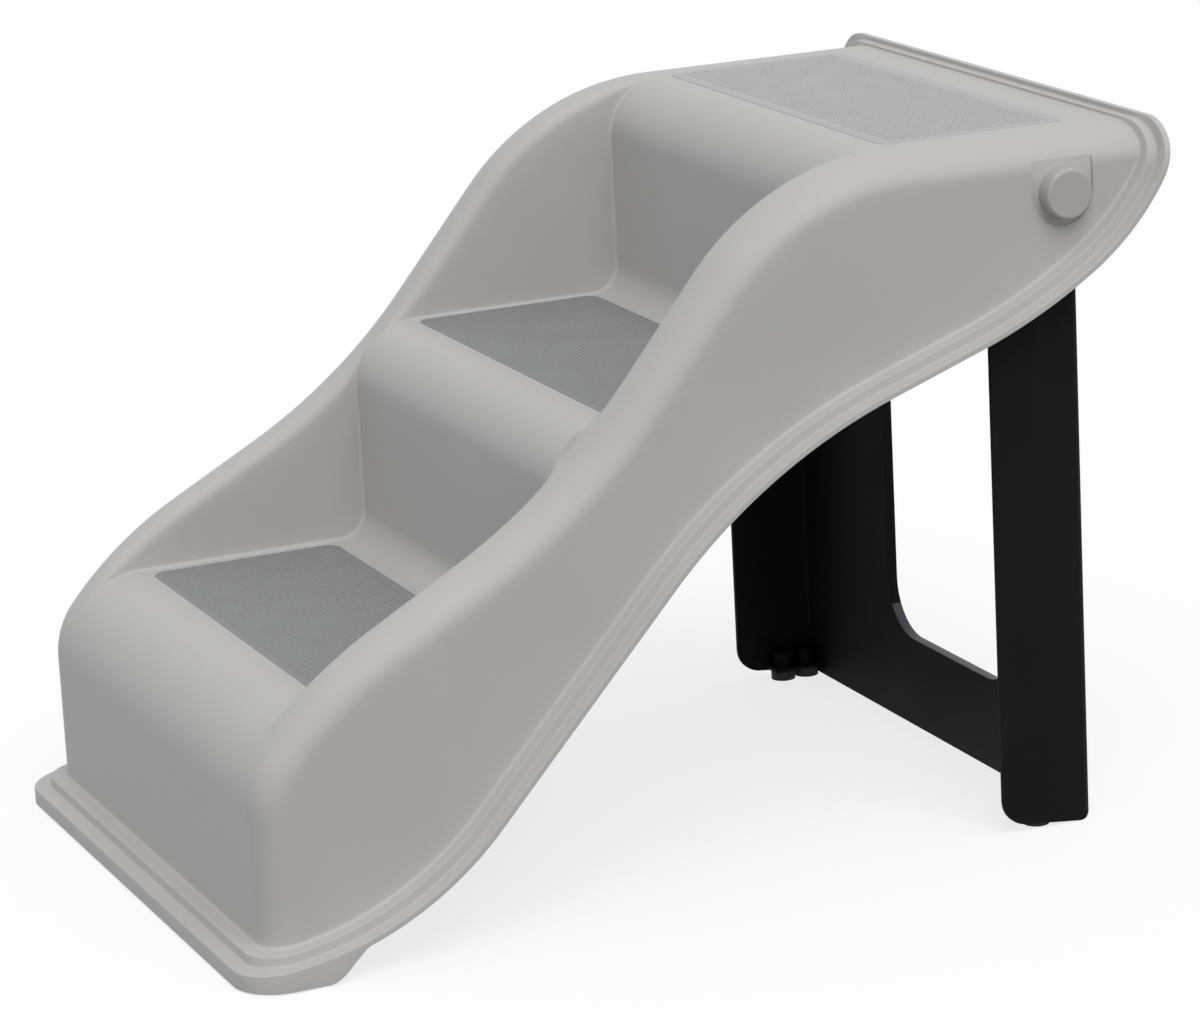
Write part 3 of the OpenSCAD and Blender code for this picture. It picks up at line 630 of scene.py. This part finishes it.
def build_leg(mat, sill_highlight_mat):
    hinge = (HINGE_Y, HINGE_Z)
    obj = add_object("leg_panel", *upright(leg_plan(), -1, LEG_TOP + 5), body="leg", slot="leg")
    steps = [("INTERSECT", prism(leg_side(), *SIDE_CUT)),
             ("DIFFERENCE", through(window_outline(), *PANEL_CUT))]
    for k, _ in SIDES:
        steps += [("DIFFERENCE", rod("x", hinge, BUSH_R, *(k * x for x in PLATE_CUT))),
                  ("DIFFERENCE", rod("x", hinge, CLIP_ROOM, k * CLIP_CUT, k * (LEG_IN - 0.1)))]
    cut_and_join(obj, steps)
    soften(obj, LEG_EDGE)
    for m in (mat, sill_highlight_mat):
        obj.data.materials.append(m)
    # the window's sill, and its corners' lower faces, take a lighter bluish grey: a painted
    # highlight along the sill
    x0, x1, z0, _, r = WINDOW
    for face in obj.data.polygons:
        c = face.center * 1000
        if x0 < c.x < x1 and z0 - 2 < c.z < z0 + r and face.normal.z > 0.5:
            face.material_index = 1
    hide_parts("leg_frame")
    for k, side in SIDES:
        join = k * (LEG_IN + OVERLAP)
        boss = add_object("leg_boss_" + side, *rod("x", hinge, BUSH_R + LEG_T, k * BOSS_IN, join),
                          body="leg", slot="leg")
        cut_and_join(boss, [("DIFFERENCE", rod("x", hinge, BUSH_R, *(k * x for x in BOSS_CUT)))])
        soften(boss, BOSS_EDGE)
        boss.data.materials.append(mat)
        (xa, xb), y1 = sorted((k * SHELF_IN, join)), LEG_Y1 - PANEL_D + OVERLAP
        box = [(xa, SHELF_Y), (xb, SHELF_Y), (xb, y1), (xa, y1)]
        shelf = add_object("leg_shelf_" + side, *upright(box, FOOT_H, FOOT_H + LEG_T),
                           body="leg", slot="leg")
        feet = [(k * FOOT_X, y) for y in FOOT_Y]
        cut_and_join(shelf, [
            *[("UNION", rod("z", c, SCREW_BOSS_R, FOOT_H + 1, FOOT_H + SCREW_L)) for c in feet],
            *[("DIFFERENCE", rod("z", c, SCREW_R, *SCREW_CUT)) for c in feet]])
        soften(shelf, SHELF_EDGE)
        shelf.data.materials.append(mat)


# Underside of the body: ribs under the treads, pads and stops at the hinge, front feet's bosses
RIB_H, RIB_CLEAR = 6.0, 6.0
PAD_TOP, PAD_SEAT, STOP_GAP, STOP_HALF = TOP_Z - 18, 0.5, 0.3, 3.0
RIB_EDGE, PAD_EDGE, STOP_EDGE = 0.5, 0.6, 0.8
BOSS_X, BOSS_Y, BOSS_R = WALL_HALF - 9, FRONT_Y + 12, 8.0
# (z, change of radius) of the rings round a boss, and the fins from it to the walls
BOSS_RINGS = ((6.0, -0.4), (6.4, 0.0), (17.2, 0.0), (18.0, -0.8))
FIN_Z0, FIN_Z1, FIN_L, FIN_Y = 7.0, 17.0, 7.5, FRONT_Y + 1.5


def build_underside(mat):
    for i in range(3):
        y, z, nose = RISER_Y[i], TREAD_Z[i] - WALL / 2, NOSES[i]
        low = z - nose - (RISE / 2 if i < 2 else TOP_Z - HINGE_Z) / 2
        end = RISER_Y[i + 1] if i < 2 else HINGE_Y - LEG_FRONT - RIB_CLEAR
        outline = [(y + WALL / 2, z - nose), (y + WALL / 2, low), (y + WALL + nose / 2, low),
                   (end, z - WALL / 2 - RIB_H), (end, z), (y + nose, z)]
        for k, side in SIDES:
            x = k * MAT_W / 4
            rib = add_object(f"rib_{i}_{side}", *prism(outline, x - WALL / 2, x + WALL / 2),
                             slot="shell")
            bevelled(rib, RIB_EDGE, mat)
    stop_z, top_z = LEG_TOP + STOP_GAP, TOP_Z - WALL / 2
    for k, side in SIDES:
        pad = add_object("hinge_pad_" + side,
                         *prism(u_shape(POCKET_R + WALL, PAD_TOP), k * (POCKET_X - WALL),
                                k * (WALL_HALF - WALL + PAD_SEAT)), slot="shell")
        bevelled(pad, PAD_EDGE, mat)
        outline = [(HINGE_Y, stop_z), (LEG_Y1, stop_z), (LEG_Y1, top_z), (HINGE_Y, top_z)]
        x = k * MAT_W / 3
        stop = add_object("leg_stop_" + side, *prism(outline, x - STOP_HALF, x + STOP_HALF),
                          slot="shell")
        bevelled(stop, STOP_EDGE, mat)
        build_boss(k, side, mat)


def build_boss(k, side, mat):
    """Boss over a front foot: a round post with a chamfered top and two fins to the walls."""
    x0, n, verts = k * BOSS_X, 32, []
    for z, more in BOSS_RINGS:
        verts += [(x, y, z) for x, y in circle((x0, BOSS_Y), BOSS_R + more, n)]
    faces = [tuple(reversed(range(n))), tuple(range(3 * n, 4 * n))]
    for q in range(3):
        faces += [(q * n + a, q * n + (a + 1) % n, (q + 1) * n + (a + 1) % n, (q + 1) * n + a)
                  for a in range(n)]
    for xs, ya, yb in (((x0, x0 + k * FIN_L), BOSS_Y - WALL / 2, BOSS_Y + WALL / 2),
                       ((x0 - WALL / 2, x0 + WALL / 2), FIN_Y, BOSS_Y)):
        v, f = prism([(ya, FIN_Z0), (yb, FIN_Z0), (yb, FIN_Z1), (ya, FIN_Z1)], *xs)
        base = len(verts)
        verts += v
        faces += [tuple(i + base for i in face) for face in f]
    obj = add_object("foot_boss_" + side, verts, faces, slot="shell")
    obj.data.materials.append(mat)


# Materials, all procedural
ROUGH_DRIFT, GRAIN_SCALE, GRAIN_DEPTH = 0.06, 900.0, 0.0004


def noise(nt, place, scale, detail):
    node = nt.nodes.new("ShaderNodeTexNoise")
    node.inputs["Scale"].default_value = scale
    node.inputs["Detail"].default_value = detail
    nt.links.new(place.outputs["Object"], node.inputs["Vector"])
    return node


def node_material(name, colour, rough, spread, scale, grain=0.0, specular=0.5, metallic=0.0):
    """A surface whose colour and roughness drift softly, with an optional fine moulded grain."""
    mat = bpy.data.materials.new(name)
    mat.use_nodes = True
    nt = mat.node_tree
    bsdf = nt.nodes["Principled BSDF"]
    place = nt.nodes.new("ShaderNodeTexCoord")
    drift = noise(nt, place, scale, 4.0)
    tint = nt.nodes.new("ShaderNodeValToRGB")
    for end, at, share in zip(tint.color_ramp.elements, (0.3, 0.7), (1 - spread, 1 + spread)):
        end.position = at
        end.color = (*[c * share for c in colour], 1)
    nt.links.new(drift.outputs["Fac"], tint.inputs["Fac"])
    nt.links.new(tint.outputs["Color"], bsdf.inputs["Base Color"])
    wear = nt.nodes.new("ShaderNodeMapRange")
    wear.inputs["To Min"].default_value = rough - ROUGH_DRIFT
    wear.inputs["To Max"].default_value = rough + ROUGH_DRIFT
    nt.links.new(drift.outputs["Fac"], wear.inputs["Value"])
    nt.links.new(wear.outputs["Result"], bsdf.inputs["Roughness"])
    bsdf.inputs["Specular IOR Level"].default_value = specular
    bsdf.inputs["Metallic"].default_value = metallic
    if grain:
        fine = noise(nt, place, GRAIN_SCALE, 3.0)
        bump = nt.nodes.new("ShaderNodeBump")
        bump.inputs["Strength"].default_value = grain
        bump.inputs["Distance"].default_value = GRAIN_DEPTH
        nt.links.new(fine.outputs["Fac"], bump.inputs["Height"])
        nt.links.new(bump.outputs["Normal"], bsdf.inputs["Normal"])
    return mat


SHELL = node_material("shell_grey", (0.50, 0.478, 0.462), rough=0.5, spread=0.02, scale=14.0,
                      grain=0.12, specular=0.28)
MAT_LOW = node_material("mat_blue_grey", (0.236, 0.246, 0.253), rough=0.6, spread=0.04, scale=40.0,
                        grain=0.2)
# Darker copy of the blue-grey for the pits' floors: painted shade in the pits, not a colour of the
# mat
MAT_LOW_PIT_SHADE = node_material("mat_blue_grey_pit_shade", (0.205, 0.213, 0.22), rough=0.7, spread=0.04,
                            scale=40.0)
MAT_TOP = node_material("mat_light_grey", (0.435, 0.431, 0.427), rough=0.6, spread=0.04, scale=40.0,
                        grain=0.2)
# Much darker copy of the light grey for the pits' floors: painted shade in the pits, not a colour
# of the mat
MAT_TOP_PIT_SHADE = node_material("mat_light_grey_pit_shade", (0.175, 0.175, 0.178), rough=0.7, spread=0.04,
                            scale=40.0)
LEG = node_material("leg_black", (0.0115, 0.0102, 0.0094), rough=0.6, spread=0.1, scale=20.0,
                    grain=0.15, specular=0.06)
# A lighter bluish grey for the leg window's sill: a painted highlight, not a colour of the leg
LEG_SILL_HIGHLIGHT = node_material("leg_window_sill_highlight", (0.07, 0.073, 0.085), rough=0.45, spread=0.1, scale=60.0,
                        grain=0.15, specular=0.3)
CAP = node_material("cap_grey", (0.44, 0.415, 0.39), rough=0.45, spread=0.02, scale=30.0,
                    grain=0.08, specular=0.4)
BUSH = node_material("bush_ivory", (0.62, 0.61, 0.57), rough=0.35, spread=0.02, scale=60.0)
STEEL = node_material("steel_zinc", (0.55, 0.55, 0.56), rough=0.35, spread=0.06, scale=200.0,
                      metallic=1.0)
RUBBER = node_material("foot_rubber", (0.02, 0.02, 0.02), rough=0.75, spread=0.1, scale=90.0,
                       grain=0.3)
# Materials of the solids that stay in the scene, by how their names start
LOOKS = {"pivot_pin": CAP, "pivot_bush": BUSH, "pivot_washer": BUSH, "pivot_clip": STEEL,
         "leg_foot_screws": STEEL, "front_foot_screws": STEEL, "leg_foot": RUBBER,
         "front_foot": RUBBER}

build_shell(SHELL)
build_underside(SHELL)
build_mat("mat_low", 0, (MAT_LOW, MAT_LOW_PIT_SHADE), "mat_dark")
build_mat("mat_mid", 1, (MAT_LOW, MAT_LOW_PIT_SHADE), "mat_dark")
build_mat("mat_top", 2, (MAT_TOP, MAT_TOP_PIT_SHADE), "mat_light")
build_leg(LEG, LEG_SILL_HIGHLIGHT)
for name, obj in NODES.items():
    key = next((k for k in LOOKS if name.startswith(k)), None)
    if key:
        obj.data.materials.clear()
        obj.data.materials.append(LOOKS[key])
        shade(obj.data, SHARP)

# Stage and light, in metres. FLOOR_BOUNCE is the floor's grey for light that bounces, and
# FLOOR_GLOW the share of its white that glows where it is seen.
FLOOR_SIZE, FLOOR_BOUNCE, FLOOR_GLOW, FLOOR_ROUGH, FLOOR_SPECULAR = 60, 0.22, 0.78, 0.9, 0.1
SKY, SKY_STRENGTH = (0.955, 0.985, 1.0, 1), 0.55
WHITE, WARM = (1, 1, 1, 1), (1.0, 0.985, 0.965)
# Name, kind, place, angle in degrees or size, and power of each lamp, all aimed at LAMP_AIM
LAMPS = (("key", "SUN", (1.5, -0.2, 2.5), 40, 1.52),
         ("side", "AREA", (2.4, 1.4, 1.5), 1.5, 5),
         ("front", "AREA", (0.7, -2.6, 0.35), 1.6, 6))
LAMP_AIM = Vector((0, 0, 0.2))
# The camera fitted to the photograph: its place with y from the front lip, and its focal length in
# the photograph's own pixels
CAM_AT, CAM_Q = (2.5550, -0.7641, 0.9323), (0.6729779, 0.4977981, 0.3492180, 0.4211230)
SENSOR, FOCAL, PHOTO_W = 36, 4712.43, 1200


def seen_directly(nt):
    """1 where the camera, a reflection or a transmitted ray sees the surface, 0 for other rays."""
    path = nt.nodes.new("ShaderNodeLightPath")
    out = path.outputs["Is Camera Ray"]
    for kind in ("Is Glossy Ray", "Is Transmission Ray"):
        most = nt.nodes.new("ShaderNodeMath")
        most.operation = "MAXIMUM"
        nt.links.new(out, most.inputs[0])
        nt.links.new(path.outputs[kind], most.inputs[1])
        out = most.outputs[0]
    return out


def show(nt, factor, first, second, output):
    """Puts a mix of two shaders on an output: the second one where the factor is 1."""
    mix = nt.nodes.new("ShaderNodeMixShader")
    nt.links.new(factor, mix.inputs[0])
    nt.links.new(first.outputs[0], mix.inputs[1])
    nt.links.new(second.outputs[0], mix.inputs[2])
    nt.links.new(mix.outputs[0], output.inputs["Surface"])


def studio_white(name):
    """A floor that reads white with a soft shadow where seen, and pale grey to bouncing light."""
    mat = bpy.data.materials.new(name)
    mat.use_nodes = True
    nt = mat.node_tree
    bounce = nt.nodes["Principled BSDF"]
    bounce.inputs["Base Color"].default_value = (*[FLOOR_BOUNCE] * 3, 1)
    bounce.inputs["Roughness"].default_value = FLOOR_ROUGH
    bounce.inputs["Specular IOR Level"].default_value = FLOOR_SPECULAR
    glow, lit, seen = (nt.nodes.new("ShaderNode" + kind)
                       for kind in ("Emission", "BsdfDiffuse", "MixShader"))
    glow.inputs["Strength"].default_value = 1.0
    lit.inputs["Color"].default_value = WHITE
    seen.inputs[0].default_value = FLOOR_GLOW
    nt.links.new(lit.outputs[0], seen.inputs[1])
    nt.links.new(glow.outputs[0], seen.inputs[2])
    show(nt, seen_directly(nt), bounce, seen, nt.nodes["Material Output"])
    return mat


def add_floor():
    bpy.ops.mesh.primitive_plane_add(size=FLOOR_SIZE, location=(0, 0, 0))
    floor = bpy.context.object
    floor.name = "floor"
    floor.data.materials.append(studio_white("floor_white"))


def add_world():
    world = bpy.data.worlds.new("studio")
    bpy.context.scene.world = world
    world.use_nodes = True
    nt = world.node_tree
    sky, white = nt.nodes["Background"], nt.nodes.new("ShaderNodeBackground")
    for node, colour, strength in ((sky, SKY, SKY_STRENGTH), (white, WHITE, 1.0)):
        node.inputs["Color"].default_value = colour
        node.inputs["Strength"].default_value = strength
    show(nt, seen_directly(nt), sky, white, nt.nodes["World Output"])


def add_lamps():
    for name, kind, where, size, power in LAMPS:
        light = bpy.data.lights.new(name, kind)
        light.energy, light.color = power, WARM
        if kind == "SUN":
            light.angle = math.radians(size)
        else:
            light.size = size
        lamp = bpy.data.objects.new(name, light)
        bpy.context.collection.objects.link(lamp)
        lamp.location = where
        lamp.rotation_euler = (LAMP_AIM - Vector(where)).to_track_quat("-Z", "Y").to_euler()


def add_camera():
    cam = bpy.data.cameras.new("photo")
    obj = bpy.data.objects.new("photo", cam)
    bpy.context.collection.objects.link(obj)
    cam.sensor_width, cam.lens = SENSOR, SENSOR * FOCAL / PHOTO_W
    obj.rotation_mode = "QUATERNION"
    obj.location = (CAM_AT[0], CAM_AT[1] - BODY_LEN / 2000, CAM_AT[2])
    obj.rotation_quaternion = CAM_Q
    bpy.context.scene.camera = obj


add_floor()
add_world()
add_lamps()
add_camera()
bpy.context.scene.view_settings.view_transform = "Standard"
